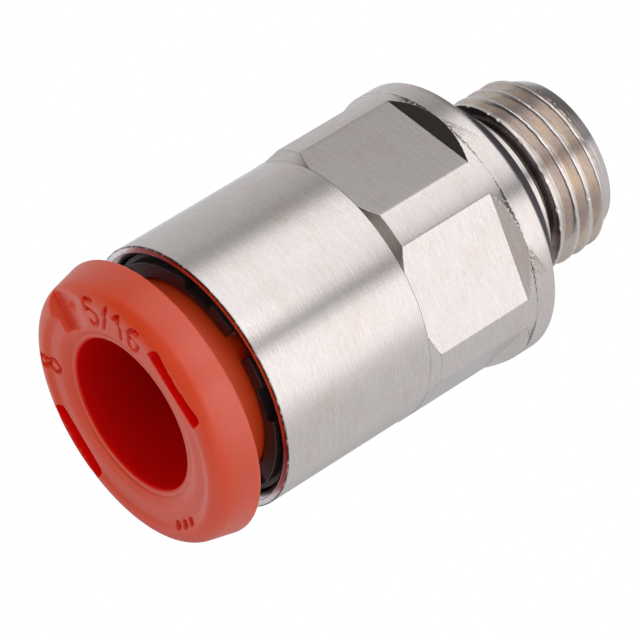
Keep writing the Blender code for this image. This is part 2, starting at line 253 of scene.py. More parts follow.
def piece(name, grids, surface, sharp=24):
    """A mesh object from grids of points in millimetres, welded where their points meet."""
    bm = bmesh.new()
    for grid in grids:
        rows = [[bm.verts.new(point) for point in row] for row in grid]
        for row, following in zip(rows, rows[1:]):
            for i in range(len(row) - 1):
                bm.faces.new((row[i], row[i + 1], following[i + 1], following[i]))
    bmesh.ops.remove_doubles(bm, verts=bm.verts, dist=1e-4)
    bmesh.ops.recalc_face_normals(bm, faces=bm.faces)
    bmesh.ops.scale(bm, vec=(MM, MM, MM), verts=bm.verts)
    mesh = bpy.data.meshes.new(name)
    bm.to_mesh(mesh)
    bm.free()
    mesh.materials.append(surface)
    mesh.shade_smooth()
    mesh.set_sharp_from_angle(angle=math.radians(sharp))
    obj = bpy.data.objects.new(name, mesh)
    bpy.context.scene.collection.objects.link(obj)
    return obj


def stand_for(obj, node, body):
    """The piece replaces a CAD node and rides on its body."""
    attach(obj, body)
    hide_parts(node)


def turned_grid(outline, columns):
    """A closed outline spun around the axis."""
    outline = closed(outline, 0)
    angles = np.linspace(0, 360, columns + 1)
    return polar(outline[:, :1], outline[:, 1:], angles[None, :])


# ---------------------------------------------------------------- the body

def body_columns(half_flat):
    """Angles around the body. In each sixth, one column lies on each edge of the flat, which is half_flat
    degrees from the flat's middle, and others close beside it carry the edge's rounding."""
    close, near = 0.25, 0.7
    half = [half_flat * i / 10 for i in range(10)]
    half += [max(0, half_flat - near), max(0, half_flat - close), half_flat]
    start = half_flat + near
    half += [half_flat + close]
    half += [start + (30 - start) * i / 6 for i in range(6)]
    sixth = [-t for t in reversed(half[1:])] + half
    turns = [60 * k + t for k in range(FLAT_COUNT) for t in [-30] + sixth]
    return np.array(turns + [360 - 30])


def body_row(y, r, flat=None):
    """One ring of points. With a flat at some distance from the axis, the ring is cut to a hexagon."""
    if flat is None:
        return polar(y, r, body_columns(PLAIN_HALF_FLAT))
    half_flat = math.degrees(math.acos(min(1, flat / r)))
    turns = body_columns(half_flat)
    from_middle = np.radians((turns + 30) % 60 - 30)
    rounding = min(0.01, (r - flat) / 3)
    return polar(y, smooth_min(r, flat / np.cos(from_middle), rounding), turns)


PLAIN_HALF_FLAT = math.degrees(math.acos(FLAT_DISTANCE / (BODY_R + FLAT_START - CONE_START)))


def torn(angle):
    """Small nicks in a torn edge, 0 to 1, at irregular places around the axis."""
    a = np.radians(angle)
    return np.clip(np.sin(23 * a) + np.sin(37 * a + 1) + np.sin(53 * a + 2) - 1, 0, 1)


def thread_radius(y, angle):
    """Radius of the threaded end: a helical ridge that grows out of a land and ends in a smooth pilot."""
    turn = (angle - THREAD_RUN_IN_ANGLE) / 360
    nearest = np.round((y - RIDGE_START) / THREAD_PITCH - turn)
    off_centre = np.abs(y - RIDGE_START - THREAD_PITCH * (nearest + turn))
    height = np.clip((nearest + turn) / 0.25, 0, 1) * (THREAD_MAJOR_R - THREAD_FOOT_R)
    height = height - 0.03 * torn(angle + 100 * nearest)
    ridge = THREAD_FOOT_R + smooth_min(height, (THREAD_FOOT_HALF - off_centre) / THREAD_SLOPE, 0.04)
    past_land = np.maximum(0, y - THREAD_LAND_END)
    land = THREAD_LAND_R - 0.1 * torn(angle) * np.clip(1.5 - (y - THREAD_START) / 0.1, 0, 1)
    core = smooth_max(THREAD_MINOR_R, THREAD_LAND_R - past_land / THREAD_SLOPE, 0.03)
    core = smooth_min(core, land, 0.02)
    pilot_start = THREAD_END - PILOT_LENGTH
    pilot = PILOT_START_R - (y - pilot_start) * (PILOT_START_R - PILOT_END_R) / PILOT_LENGTH
    chamfer = np.maximum(pilot, PILOT_START_R - (y - pilot_start) * CHAMFER_SLOPE)
    core = smooth_max(core, pilot - np.maximum(0, pilot_start - y) * 4, 0.02)
    return smooth_min(smooth_max(ridge, core, 0.04), chamfer, 0.02)


def thread_grid(turns):
    """Rows that follow the helix, held between the thread's two ends."""
    edge = (THREAD_MAJOR_R - THREAD_MINOR_R) * THREAD_SLOPE + THREAD_CREST_HALF
    stops = (-THREAD_PITCH / 2, -edge, -THREAD_CREST_HALF, THREAD_CREST_HALF, edge, THREAD_PITCH / 2)
    offsets = []
    for low, high, steps in zip(stops, stops[1:], (2, 8, 4, 8, 2)):
        offsets += [low + (high - low) * i / steps for i in range(steps)]
    first = THREAD_START - 2 * THREAD_PITCH
    pitches = math.ceil((THREAD_END - first) / THREAD_PITCH) + 2
    rows = np.array([RIDGE_START + THREAD_PITCH * (n - 3) + o for n in range(pitches + 2) for o in offsets])
    y = rows[:, None] + THREAD_PITCH * (turns[None, :] - THREAD_RUN_IN_ANGLE) / 360
    y = np.clip(y, THREAD_START, THREAD_END)
    return polar(y, thread_radius(y, turns[None, :]), turns[None, :])


def make_body(surface):
    cone_steps = 8
    flat_steps = 12
    shoulder_steps = 14
    even_steps = 8            # rows behind the flats, over which the columns become even again
    even_step = 0.1
    turns = body_columns(PLAIN_HALF_FLAT)
    rows = [polar(THREAD_END, thread_radius(THREAD_END, turns), turns)]
    inner = [
        (THREAD_END, PASSAGE_R + PASSAGE_CHAMFER, 0.05),
        (THREAD_END - PASSAGE_CHAMFER, PASSAGE_R, 0.05),
        (TUBE_STOP, PASSAGE_R, 0.1),
        (TUBE_STOP, SOCKET_R, 0),
        (SEAL_BORE_END, SOCKET_R, 0.1),
        (SEAL_BORE_END, SEAL_BORE_R, 0),
        (CARTRIDGE_END, SEAL_BORE_R, 0.1),
        (CARTRIDGE_END, CARTRIDGE_R, 0),
        (MOUTH + MOUTH_CHAMFER, CARTRIDGE_R, 0.05),
        (MOUTH, CARTRIDGE_R + MOUTH_CHAMFER, 0.03),
        (MOUTH, BODY_R, 0.09),
        (CONE_START, BODY_R, 0),
    ]
    rows += [body_row(y, r) for y, r in softened(inner)]
    rows.append(body_row(FLAT_START, BODY_R + FLAT_START - CONE_START))
    for i in range(cone_steps + 1):
        y = FLAT_START + (CONE_END - FLAT_START) * i / cone_steps
        rows.append(body_row(y, BODY_R + y - CONE_START, FLAT_DISTANCE))
    for i in range(1, flat_steps + 1):
        y = CONE_END + (FLAT_END - CONE_END) * i / flat_steps
        rows.append(body_row(y, COLLAR_R, FLAT_DISTANCE))
    widest = math.acos(FLAT_DISTANCE / COLLAR_R)
    tip = FLAT_END + COLLAR_R - FLAT_DISTANCE
    for i in range(1, shoulder_steps + 1):
        distance = COLLAR_R * math.cos(widest * (1 - i / shoulder_steps))
        rows.append(body_row(FLAT_END + distance - FLAT_DISTANCE, COLLAR_R, distance))
    for i in range(1, even_steps + 1):
        columns = body_columns(PLAIN_HALF_FLAT * i / even_steps)
        rows.append(polar(tip + even_step * i, COLLAR_R, columns))
    back = [
        (tip + even_step * (even_steps + 1), COLLAR_R, 0),
        (SEALING_FACE, COLLAR_R, 0.25),
        (SEALING_FACE, RING_SEAT_R, 0.03),
        (SEALING_FACE - RING_SEAT_DEPTH, RING_SEAT_R, 0.03),
        (SEALING_FACE - RING_SEAT_DEPTH, SHOULDER_R, 0.05),
        (GROOVE_START, SHOULDER_R, 0.08),
        (GROOVE_START, GROOVE_R, 0.08),
        (THREAD_START, GROOVE_R, 0.1),
        (THREAD_START, THREAD_LAND_R, 0),
    ]
    rows += [body_row(y, r) for y, r in softened(back)[:-1]]
    rows.append(polar(THREAD_START, thread_radius(THREAD_START, turns), turns))
    body = piece("body_shell", [np.array(rows), thread_grid(turns)], surface, sharp=16)
    stand_for(body, "body", "fitting_body")


# ---------------------------------------------------------------- the release sleeve

def face_axes(x, z, angle):
    """A point on the sleeve's face as (distance out along this angle's radius, distance to its side)."""
    a = math.radians(angle)
    return x * math.sin(a) + z * math.cos(a), x * math.cos(a) - z * math.sin(a)


def pocket_depth(x, z, angle):
    out, side = face_axes(x, z, angle)
    across = np.abs(side) - (POCKET_LENGTH / 2 - POCKET_CORNER_R)
    along = np.abs(out - POCKET_R) - (POCKET_WIDTH / 2 - POCKET_CORNER_R)
    corner = np.hypot(np.maximum(across, 0), np.maximum(along, 0))
    inside = POCKET_CORNER_R - corner - np.minimum(np.maximum(across, along), 0)
    return np.minimum(POCKET_DEPTH, DISH_DEPTH + inside * POCKET_WALL_SLOPE)


def scoop_depth(x, z):
    out, side = face_axes(x, z, SCOOP_ANGLE)
    low, high = SCOOP_SIDES
    deep = SCOOP_DEPTH - DISH_DEPTH
    steep = (side - low) * deep / (SCOOP_DEEPEST - low)
    gentle = (high - side) * deep / (high - SCOOP_DEEPEST)
    end = (out - SCOOP_START_R) * SCOOP_END_SLOPE
    gate_out, gate_side = GATE_PLACE
    from_gate = np.hypot(out - gate_out, side - gate_side)
    vestige = GATE_HEIGHT * np.exp(-((from_gate - GATE_R) / 0.08) ** 2)
    return DISH_DEPTH + smooth_min(smooth_min(steep, gentle, 0.06), end, 0.06) - vestige


def stroke_depth(x, z, strokes, angle):
    """Depth of an engraved mark. Its strokes are polylines in a cell that is 1 high, middle at (0, 0)."""
    out, side = face_axes(x, z, angle)
    nearest = np.full(np.shape(x), 9.0)
    for stroke in strokes:
        for (x0, y0), (x1, y1) in zip(stroke, stroke[1:]):
            ax, ay = x0 * MARK_HEIGHT, MARK_R + y0 * MARK_HEIGHT
            dx, dy = (x1 - x0) * MARK_HEIGHT, (y1 - y0) * MARK_HEIGHT
            along = ((side - ax) * dx + (out - ay) * dy) / (dx * dx + dy * dy)
            along = np.clip(along, 0, 1)
            nearest = np.minimum(nearest, np.hypot(side - ax - along * dx, out - ay - along * dy))
    return DISH_DEPTH + np.minimum(MARK_DEPTH, (MARK_STROKE - nearest) * MARK_WALL_SLOPE)


def curve(x, y, width, height, start, end, steps=8):
    """Points of an elliptical stroke, its angles counted from the right, anticlockwise."""
    turns = [math.radians(start + (end - start) * i / steps) for i in range(steps + 1)]
    return [(x + width * math.cos(t), y + height * math.sin(t)) for t in turns]


FIVE = [[(0.24, 0.5), (-0.2, 0.5), (-0.24, 0.08)] + curve(-0.01, -0.17, 0.26, 0.33, 125, -140)]
SLASH = [[(0.22, 0.5), (-0.22, -0.5)]]
ONE = [[(-0.16, 0.33), (0.04, 0.5), (0.04, -0.5)]]
SIX = [curve(0, -0.2, 0.24, 0.3, 0, 360, 14), [(-0.235, -0.14)] + curve(0.1, 0.0, 0.33, 0.5, 170, 75)]
EIGHT = [curve(0, 0.26, 0.19, 0.24, 0, 360, 12), curve(0, -0.24, 0.25, 0.26, 0, 360, 12)]
SIZE_MARKS = ((FIVE, -24.4), (SLASH, -13.6), (ONE, -3.3), (SIX, 7.1), (EIGHT, -96.7))
DOT_ANGLES = (126, 133, 140)


def face_depth(x, z):
    """How far the sleeve's face is sunk at each point, negative where nothing is cut."""
    depth = scoop_depth(x, z)
    for angle in POCKET_ANGLES:
        depth = np.maximum(depth, pocket_depth(x, z, angle))
    for strokes, angle in SIZE_MARKS:
        depth = np.maximum(depth, stroke_depth(x, z, strokes, angle))
    for angle in DOT_ANGLES:
        out, side = face_axes(x, z, angle)
        dot = np.minimum(MARK_DEPTH, (DOT_R - np.hypot(side, out - MARK_R)) * MARK_WALL_SLOPE)
        depth = np.maximum(depth, DISH_DEPTH + dot)
    return depth


def sleeve_outline():
    """The sleeve's outline, from the bore's lead-in over the flange to the nose. Returns it with the
    number of its points that lie on the front, where the face is cut."""
    bore_seam = SLEEVE_FACE + 3   # where the outline starts and ends, inside the bore
    rim_y = FLANGE_BACK - FLANGE_RIM_ROUND
    round_y = SLEEVE_FACE + FLANGE_ROUND_R
    along = rim_y - round_y
    across = FLANGE_RIM_R - FLANGE_FACE_R
    # The flank is the common tangent of the two rounds
    lean = math.degrees(math.atan2(across, along)
                        - math.asin((FLANGE_ROUND_R - FLANGE_RIM_ROUND) / math.hypot(along, across)))
    lead_in = softened([
        (bore_seam, SLEEVE_BORE_R, 0),
        (SLEEVE_FACE + 0.46, SLEEVE_BORE_R, 0.06),
        (SLEEVE_FACE + 0.40, SLEEVE_BORE_R + 0.1, 0.03),
        (SLEEVE_FACE + 0.38, SLEEVE_BORE_R + 0.32, 0.04),
        (SLEEVE_FACE + 0.30, SLEEVE_BORE_R + 0.42, 0.06),
        (SLEEVE_FACE + DISH_DEPTH, LEAD_IN_R, 0.2),
        (SLEEVE_FACE + DISH_DEPTH, DISH_R, 0),
    ])[:-1]
    face_r = np.linspace(LEAD_IN_R + 0.24, FLANGE_FACE_R, 30)[:-1]
    rise = np.clip((face_r - DISH_R) / (FLANGE_FACE_R - DISH_R), 0, 1)
    face_y = SLEEVE_FACE + DISH_DEPTH * (1 - rise * rise * (3 - 2 * rise))
    face = np.stack((face_y, face_r), axis=-1)
    edge = arc(round_y, FLANGE_FACE_R, FLANGE_ROUND_R, 180, 90 + lean, 28)
    front = np.concatenate((lead_in, face, edge))
    rim = arc(rim_y, FLANGE_RIM_R, FLANGE_RIM_ROUND, 90 + lean, 0, 8)
    lip_front = LIP_SEAT + RUNNING_GAP
    back = softened([
        (FLANGE_BACK, SLEEVE_NECK_R, 0.12),
        (lip_front, SLEEVE_NECK_R, 0),
        (lip_front, LIP_R, 0.05),
        (lip_front + 0.4, LIP_R, 0.05),
        (SLEEVE_NOSE, SLEEVE_NECK_R - 0.65, 0.08),
        (SLEEVE_NOSE, SLEEVE_BORE_R, 0.08),
        (bore_seam, SLEEVE_BORE_R, 0),
    ])[:-1]
    return np.concatenate((front, rim, back)), len(front)


def cut(obj, tool):
    """Cuts the tool out of the object, and removes the tool."""
    step = obj.modifiers.new("cut", "BOOLEAN")
    step.operation = "DIFFERENCE"
    step.object = tool
    step.solver = "EXACT"
    graph = bpy.context.evaluated_depsgraph_get()
    made = bpy.data.meshes.new_from_object(obj.evaluated_get(graph))
    obj.modifiers.clear()
    obj.data = made
    bpy.data.objects.remove(tool)


def slit_tool(surface):
    bm = bmesh.new()
    for i in range(FINGER_COUNT):
        made = bmesh.ops.create_cube(bm, size=1)["verts"]
        bmesh.ops.scale(bm, vec=(SLIT_WIDTH, 5, 2.4), verts=made)
        bmesh.ops.translate(bm, vec=(0, SLIT_START + 2.5, SLEEVE_BORE_R + 0.8), verts=made)
        a = math.radians(360 * (i + 0.3) / FINGER_COUNT)
        for vert in made:
            x, z = vert.co.x, vert.co.z
            vert.co.x = x * math.cos(a) + z * math.sin(a)
            vert.co.z = z * math.cos(a) - x * math.sin(a)
    bmesh.ops.scale(bm, vec=(MM, MM, MM), verts=bm.verts)
    mesh = bpy.data.meshes.new("slits")
    bm.to_mesh(mesh)
    bm.free()
    mesh.materials.append(surface)
    obj = bpy.data.objects.new("slits", mesh)
    bpy.context.scene.collection.objects.link(obj)
    return obj


def make_sleeve(surface):
    outline, front_count = sleeve_outline()
    grid = turned_grid(outline, 720)
    front = grid[:front_count]
    sunk = SLEEVE_FACE + face_depth(front[..., 0], front[..., 2])
    in_bore = np.hypot(front[..., 0], front[..., 2]) < SLEEVE_BORE_R + 0.3
    front[..., 1] = np.where(in_bore, front[..., 1], smooth_max(front[..., 1], sunk, 0.02))
    sleeve = piece("release_sleeve_skin", [grid], surface, sharp=60)
    cut(sleeve, slit_tool(surface))
    stand_for(sleeve, "release_sleeve", "sleeve")


# ---------------------------------------------------------------- the other pieces

def ring_columns():
    """Angles around the retaining ring, with what its rim is there: 2 full, 1 thin, 0 none."""
    stops = [
        (-RIM_ARC_END, -RIM_THIN_END, 2),
        (-RIM_THIN_END, -RIM_TAB_END, 1),
        (-RIM_TAB_END, -RIM_GAP_END, 2),
        (-RIM_GAP_END, RIM_GAP_END, 0),
        (RIM_GAP_END, RIM_TAB_END, 2),
        (RIM_TAB_END, RIM_THIN_END, 1),
        (RIM_THIN_END, RIM_ARC_END, 2),
        (RIM_ARC_END, 180 - RIM_ARC_END, 0),
    ]
    columns = []
    for middle in (RIM_MIDDLE, RIM_MIDDLE + 180):
        for start, end, kind in stops:
            steps = round((end - start) / 1.75)
            columns += [(middle + start + (end - start) * i / steps, kind) for i in range(steps + 1)]
    return columns + [(columns[0][0] + 360, columns[0][1])]


def make_retaining_ring(surface):
    floor = MOUTH + RIM_HEIGHT
    turns, kinds = map(np.array, zip(*ring_columns()))
    thin = softened([(MOUTH + 1, RING_BORE_R, 0), (MOUTH, RING_BORE_R, 0.06), (MOUTH, THIN_RIM_R, 0)])[1:]
    thick = softened([(MOUTH, THIN_RIM_R, 0), (MOUTH, RIM_R, 0.09), (floor, RIM_R, 0)])
    rim = np.concatenate((thin, thick))
    on_thin = np.arange(len(rim)) < len(thin)
    standing = np.where(on_thin[:, None], kinds[None, :] > 0, kinds[None, :] > 1)
    rim_y = np.where(standing, rim[:, :1], floor)
    rim_grid = polar(rim_y, rim[:, 1:], turns[None, :])
    rest = np.array([
        (floor, CARTRIDGE_R - CLEARANCE),
        (ring_high.y, CARTRIDGE_R - CLEARANCE),
        (ring_high.y, SKIRT_R),
        (LIP_SEAT, SKIRT_R),
        (LIP_SEAT, RING_BORE_R),
    ])
    rest_grid = polar(rest[:, :1], rest[:, 1:], turns[None, :])
    grid = closed(np.concatenate((rim_grid, rest_grid)), 0)
    ring = piece("retaining_ring_skin", [grid], surface, sharp=35)
    stand_for(ring, "retaining_ring", "fitting_body")


def make_grip_ring(surface):
    outer_r = grip_high.z
    lean = grip_high.y - grip_low.y - GRIP_THICKNESS
    outline = [
        (grip_low.y, outer_r),
        (grip_low.y, GRIP_ROOT_R),
        (grip_low.y + lean, GRIP_TIP_R),
        (grip_high.y, GRIP_TIP_R),
        (grip_low.y + GRIP_THICKNESS, GRIP_ROOT_R),
        (grip_low.y + GRIP_THICKNESS, outer_r),
    ]
    columns = []
    for tooth in range(TOOTH_COUNT):
        for side in (-1, 1):
            # A column on each side of the gap, for the tooth and for the gap's root
            order = ("tooth", "gap") if side < 0 else ("gap", "tooth")
            columns += [(tooth, side, kind) for kind in order]
        columns += [(tooth, step, "blade") for step in range(1, 12)]
    grid = []
    for y, r in closed(np.array(outline), 0):
        row = []
        for tooth, step, kind in columns + columns[:1]:
            middle = 360 * (tooth + 0.5) / TOOTH_COUNT
            radius, place = (r, y)
            if kind == "gap" and r < GRIP_ROOT_R:
                radius = GRIP_ROOT_R
                place = grip_low.y if y < grip_high.y - 0.01 else grip_low.y + GRIP_THICKNESS
            half = math.degrees(math.asin(TOOTH_GAP / 2 / radius))
            if kind == "blade":
                turn = middle + half + (360 / TOOTH_COUNT - 2 * half) * step / 12
            else:
                turn = middle + step * half
            row.append(polar(place, radius, turn))
        grid.append(row)
    ring = piece("grip_ring_skin", [np.array(grid)], surface)
    stand_for(ring, "grip_ring", "gripper")


def make_support_ring(surface):
    dish = GRIP_ROOT_R + 0.2
    outline = softened([
        (support_low.y, support_high.z, 0.05),
        (support_high.y, support_high.z, 0.05),
        (support_high.y, SLEEVE_BORE_R, 0.05),
        (support_low.y + dish - SLEEVE_BORE_R, SLEEVE_BORE_R, 0.05),
        (support_low.y, dish, 0.05),
    ])
    ring = piece("support_ring_skin", [turned_grid(outline, 180)], surface)
    stand_for(ring, "support_ring", "fitting_body")


def make_o_ring(name, node, low, high, surface):
    """A moulded ring, with the faint flash line its mould leaves on its outside and inside."""
    section_r = (high.y - low.y) / 2
    middle = (high.y + low.y) / 2
    centre_r = high.z - section_r
    turns = np.radians(np.arange(0, 360, 7.5))
    flash = 0.02 * (np.abs(np.cos(turns)) < 0.05)
    outline = np.stack((middle + section_r * np.cos(turns),
                        centre_r + (section_r - 0.02 + flash) * np.sin(turns)), axis=-1)
    ring = piece(name, [turned_grid(outline, 180)], surface, sharp=60)
    stand_for(ring, node, "fitting_body")


# ---------------------------------------------------------------- materials

def add(tree, kind, inputs=None, **settings):
    """A node with its settings, its inputs either values or other nodes' outputs."""
    made = tree.nodes.new(kind)
    for key, value in settings.items():
        setattr(made, key, value)
    for key, value in (inputs or {}).items():
        if isinstance(value, bpy.types.NodeSocket):
            tree.links.new(value, made.inputs[key])
        else:
            made.inputs[key].default_value = value
    return made


def new_material(name):
    made = bpy.data.materials.new(name)
    made.use_nodes = True
    tree = made.node_tree
    return made, tree, tree.nodes["Principled BSDF"]


def place_in_mm(tree, scale=(1, 1, 1)):
    """The place on the object in millimetres, stretched by a scale."""
    place = add(tree, "ShaderNodeTexCoord")
    stretched = tuple(1000 * s for s in scale)
    return add(tree, "ShaderNodeMapping", {"Vector": place.outputs["Object"], "Scale": stretched}).outputs[0]


def from_axis(tree):
    """The distance from the fitting's axis in millimetres."""
    across = place_in_mm(tree, (1, 0, 1))
    return add(tree, "ShaderNodeVectorMath", {0: across}, operation="LENGTH").outputs["Value"]


def noise(tree, scale, detail=2.0, roughness=0.5):
    """Noise between 0 and 1 that varies with the place in millimetres times the scale."""
    settings = {"Vector": place_in_mm(tree, scale), "Scale": 1.0, "Detail": detail, "Roughness": roughness}
    return add(tree, "ShaderNodeTexNoise", settings).outputs["Fac"]


def spread(tree, value, low, high, start=0.0, end=1.0, kind="LINEAR"):
    """Maps start..end to low..high."""
    ends = {"Value": value, "From Min": start, "From Max": end, "To Min": low, "To Max": high}
    return add(tree, "ShaderNodeMapRange", ends, interpolation_type=kind).outputs["Result"]


def combine(tree, operation, a, b):
    return add(tree, "ShaderNodeMath", {0: a, 1: b}, operation=operation).outputs[0]


def tint(tree, factor, first, second):
    made = add(tree, "ShaderNodeMix", {"Factor": factor}, data_type="RGBA")
    made.inputs[6].default_value = (*first, 1)
    made.inputs[7].default_value = (*second, 1)
    return made.outputs[2]


def times(tree, first, second):
    """Two colours multiplied."""
    return add(tree, "ShaderNodeVectorMath", {0: first, 1: second}, operation="MULTIPLY").outputs[0]


def raised(tree, shader, relief):
    """Gives the surface a relief in millimetres, and returns its bump node."""
    bump = add(tree, "ShaderNodeBump", {"Strength": 1.0, "Distance": MM, "Height": relief})
    tree.links.new(bump.outputs["Normal"], shader.inputs["Normal"])
    return bump


def worn_edges(tree, radius):
    """1 close to a sharp edge, 0 away from it."""
    rounded = add(tree, "ShaderNodeBevel", {"Radius": radius * MM}, samples=4).outputs["Normal"]
    flat = add(tree, "ShaderNodeNewGeometry").outputs["True Normal"]
    alike = add(tree, "ShaderNodeVectorMath", {0: rounded, 1: flat}, operation="DOT_PRODUCT").outputs["Value"]
    return spread(tree, alike, 1, 0, 0.990, 0.998)


def product(tree, first, *others):
    for other in others:
        first = combine(tree, "MULTIPLY", first, other)
    return first


def nickel():
    """Satin nickel plate: turned lines around the axis, fine grain, faint stains and dark nicked edges.
    The thread's flanks and roots get a darker, warmer tint, varied by stains: painted reflection of the
    flanks in each other.
    The relief groove and the step at its end are darkened, most on their upper side: painted shade."""
    made, tree, shader = new_material("nickel_plate")
    parts = add(tree, "ShaderNodeSeparateXYZ", {0: place_in_mm(tree)}).outputs
    along, height = parts["Y"], parts["Z"]
    out = from_axis(tree)

    lines = noise(tree, (0.9, 17, 0.9), detail=4, roughness=0.6)
    grain = noise(tree, (4, 22, 4), detail=4, roughness=0.7)
    stain = noise(tree, (0.6, 0.6, 0.6), detail=6, roughness=0.65)
    pits = noise(tree, (7, 9, 7), detail=2)
    turned = combine(tree, "MULTIPLY", lines, 0.003)
    relief = combine(tree, "ADD", turned, combine(tree, "MULTIPLY", grain, 0.0025))
    relief = combine(tree, "ADD", relief, combine(tree, "MULTIPLY", pits, 0.0016))
    raised(tree, shader, relief)
    tree.links.new(spread(tree, grain, 0.15, 0.25, 0.3, 0.7), shader.inputs["Roughness"])
    shader.inputs["Metallic"].default_value = 1.0

    even = combine(tree, "MULTIPLY", lines, 0.5)
    mottle = combine(tree, "ADD", combine(tree, "MULTIPLY", grain, 0.5), even)
    plate = tint(tree, spread(tree, mottle, 0, 1, 0.38, 0.62), (0.89, 0.845, 0.84), (0.75, 0.70, 0.692))
    stained = tint(tree, spread(tree, stain, 0, 1, 0.5, 0.75), (1.0, 1.0, 1.0), (0.96, 0.91, 0.85))
    pilot_start = THREAD_END - PILOT_LENGTH
    # Painted reflection: the thread's flanks and roots, not its crests, get a darker, warmer tint, varied by
    # the stains
    flank = product(tree, spread(tree, along, 0, 1, THREAD_START, THREAD_START + 0.2),
                    spread(tree, along, 1, 0, pilot_start - 0.05, pilot_start + 0.05),
                    spread(tree, out, 1, 0, THREAD_MAJOR_R - 0.1, THREAD_MAJOR_R - 0.02))
    flank_stain_and_reflection = tint(tree, spread(tree, stain, 0, 1, 0.4, 0.6), (0.95, 0.88, 0.76), (0.86, 0.83, 0.82))
    flank_reflection_mix = add(tree, "ShaderNodeMix", {"Factor": flank, 7: flank_stain_and_reflection}, data_type="RGBA")
    flank_reflection_mix.inputs[6].default_value = (1, 1, 1, 1)
    plate = times(tree, times(tree, plate, stained), flank_reflection_mix.outputs[2])

    patches = noise(tree, (3, 3, 3), detail=4, roughness=0.7)
    chips = noise(tree, (8, 8, 8), detail=3, roughness=0.6)
    nicks = product(tree, worn_edges(tree, 0.035), spread(tree, chips, 0, 0.9, 0.42, 0.47),
                    spread(tree, along, 1, 0, SEALING_FACE - 0.4, SEALING_FACE - 0.3))
    at_mouth = product(tree, spread(tree, along, 1, 0, MOUTH + 0.04, MOUTH + 0.12),
                       spread(tree, out, 0, 1, BODY_R - 0.1, BODY_R - 0.04),
                       spread(tree, patches, 0, 1, 0.38, 0.5))
    # Painted shade over the relief groove and the step at the thread's start, strongest on the upper side
    step_painted_shade = product(tree, spread(tree, along, 0, 1, GROOVE_START + 0.1, GROOVE_START + 0.2),
                      spread(tree, along, 1, 0, THREAD_START + 0.02, THREAD_START + 0.06),
                      spread(tree, height, 0, 0.85, -1.5, 0.5))
    dark = combine(tree, "MAXIMUM", combine(tree, "MAXIMUM", nicks, at_mouth), step_painted_shade)
    # Darkens the plate at nicked edges and in patches round the mouth, and with painted shade over the groove
    # and its step
    nicked_and_shaded = add(tree, "ShaderNodeMix", {"Factor": dark, 6: plate}, data_type="RGBA")
    nicked_and_shaded.inputs[7].default_value = (0.07, 0.05, 0.045, 1)
    tree.links.new(nicked_and_shaded.outputs[2], shader.inputs["Base Color"])
    return made


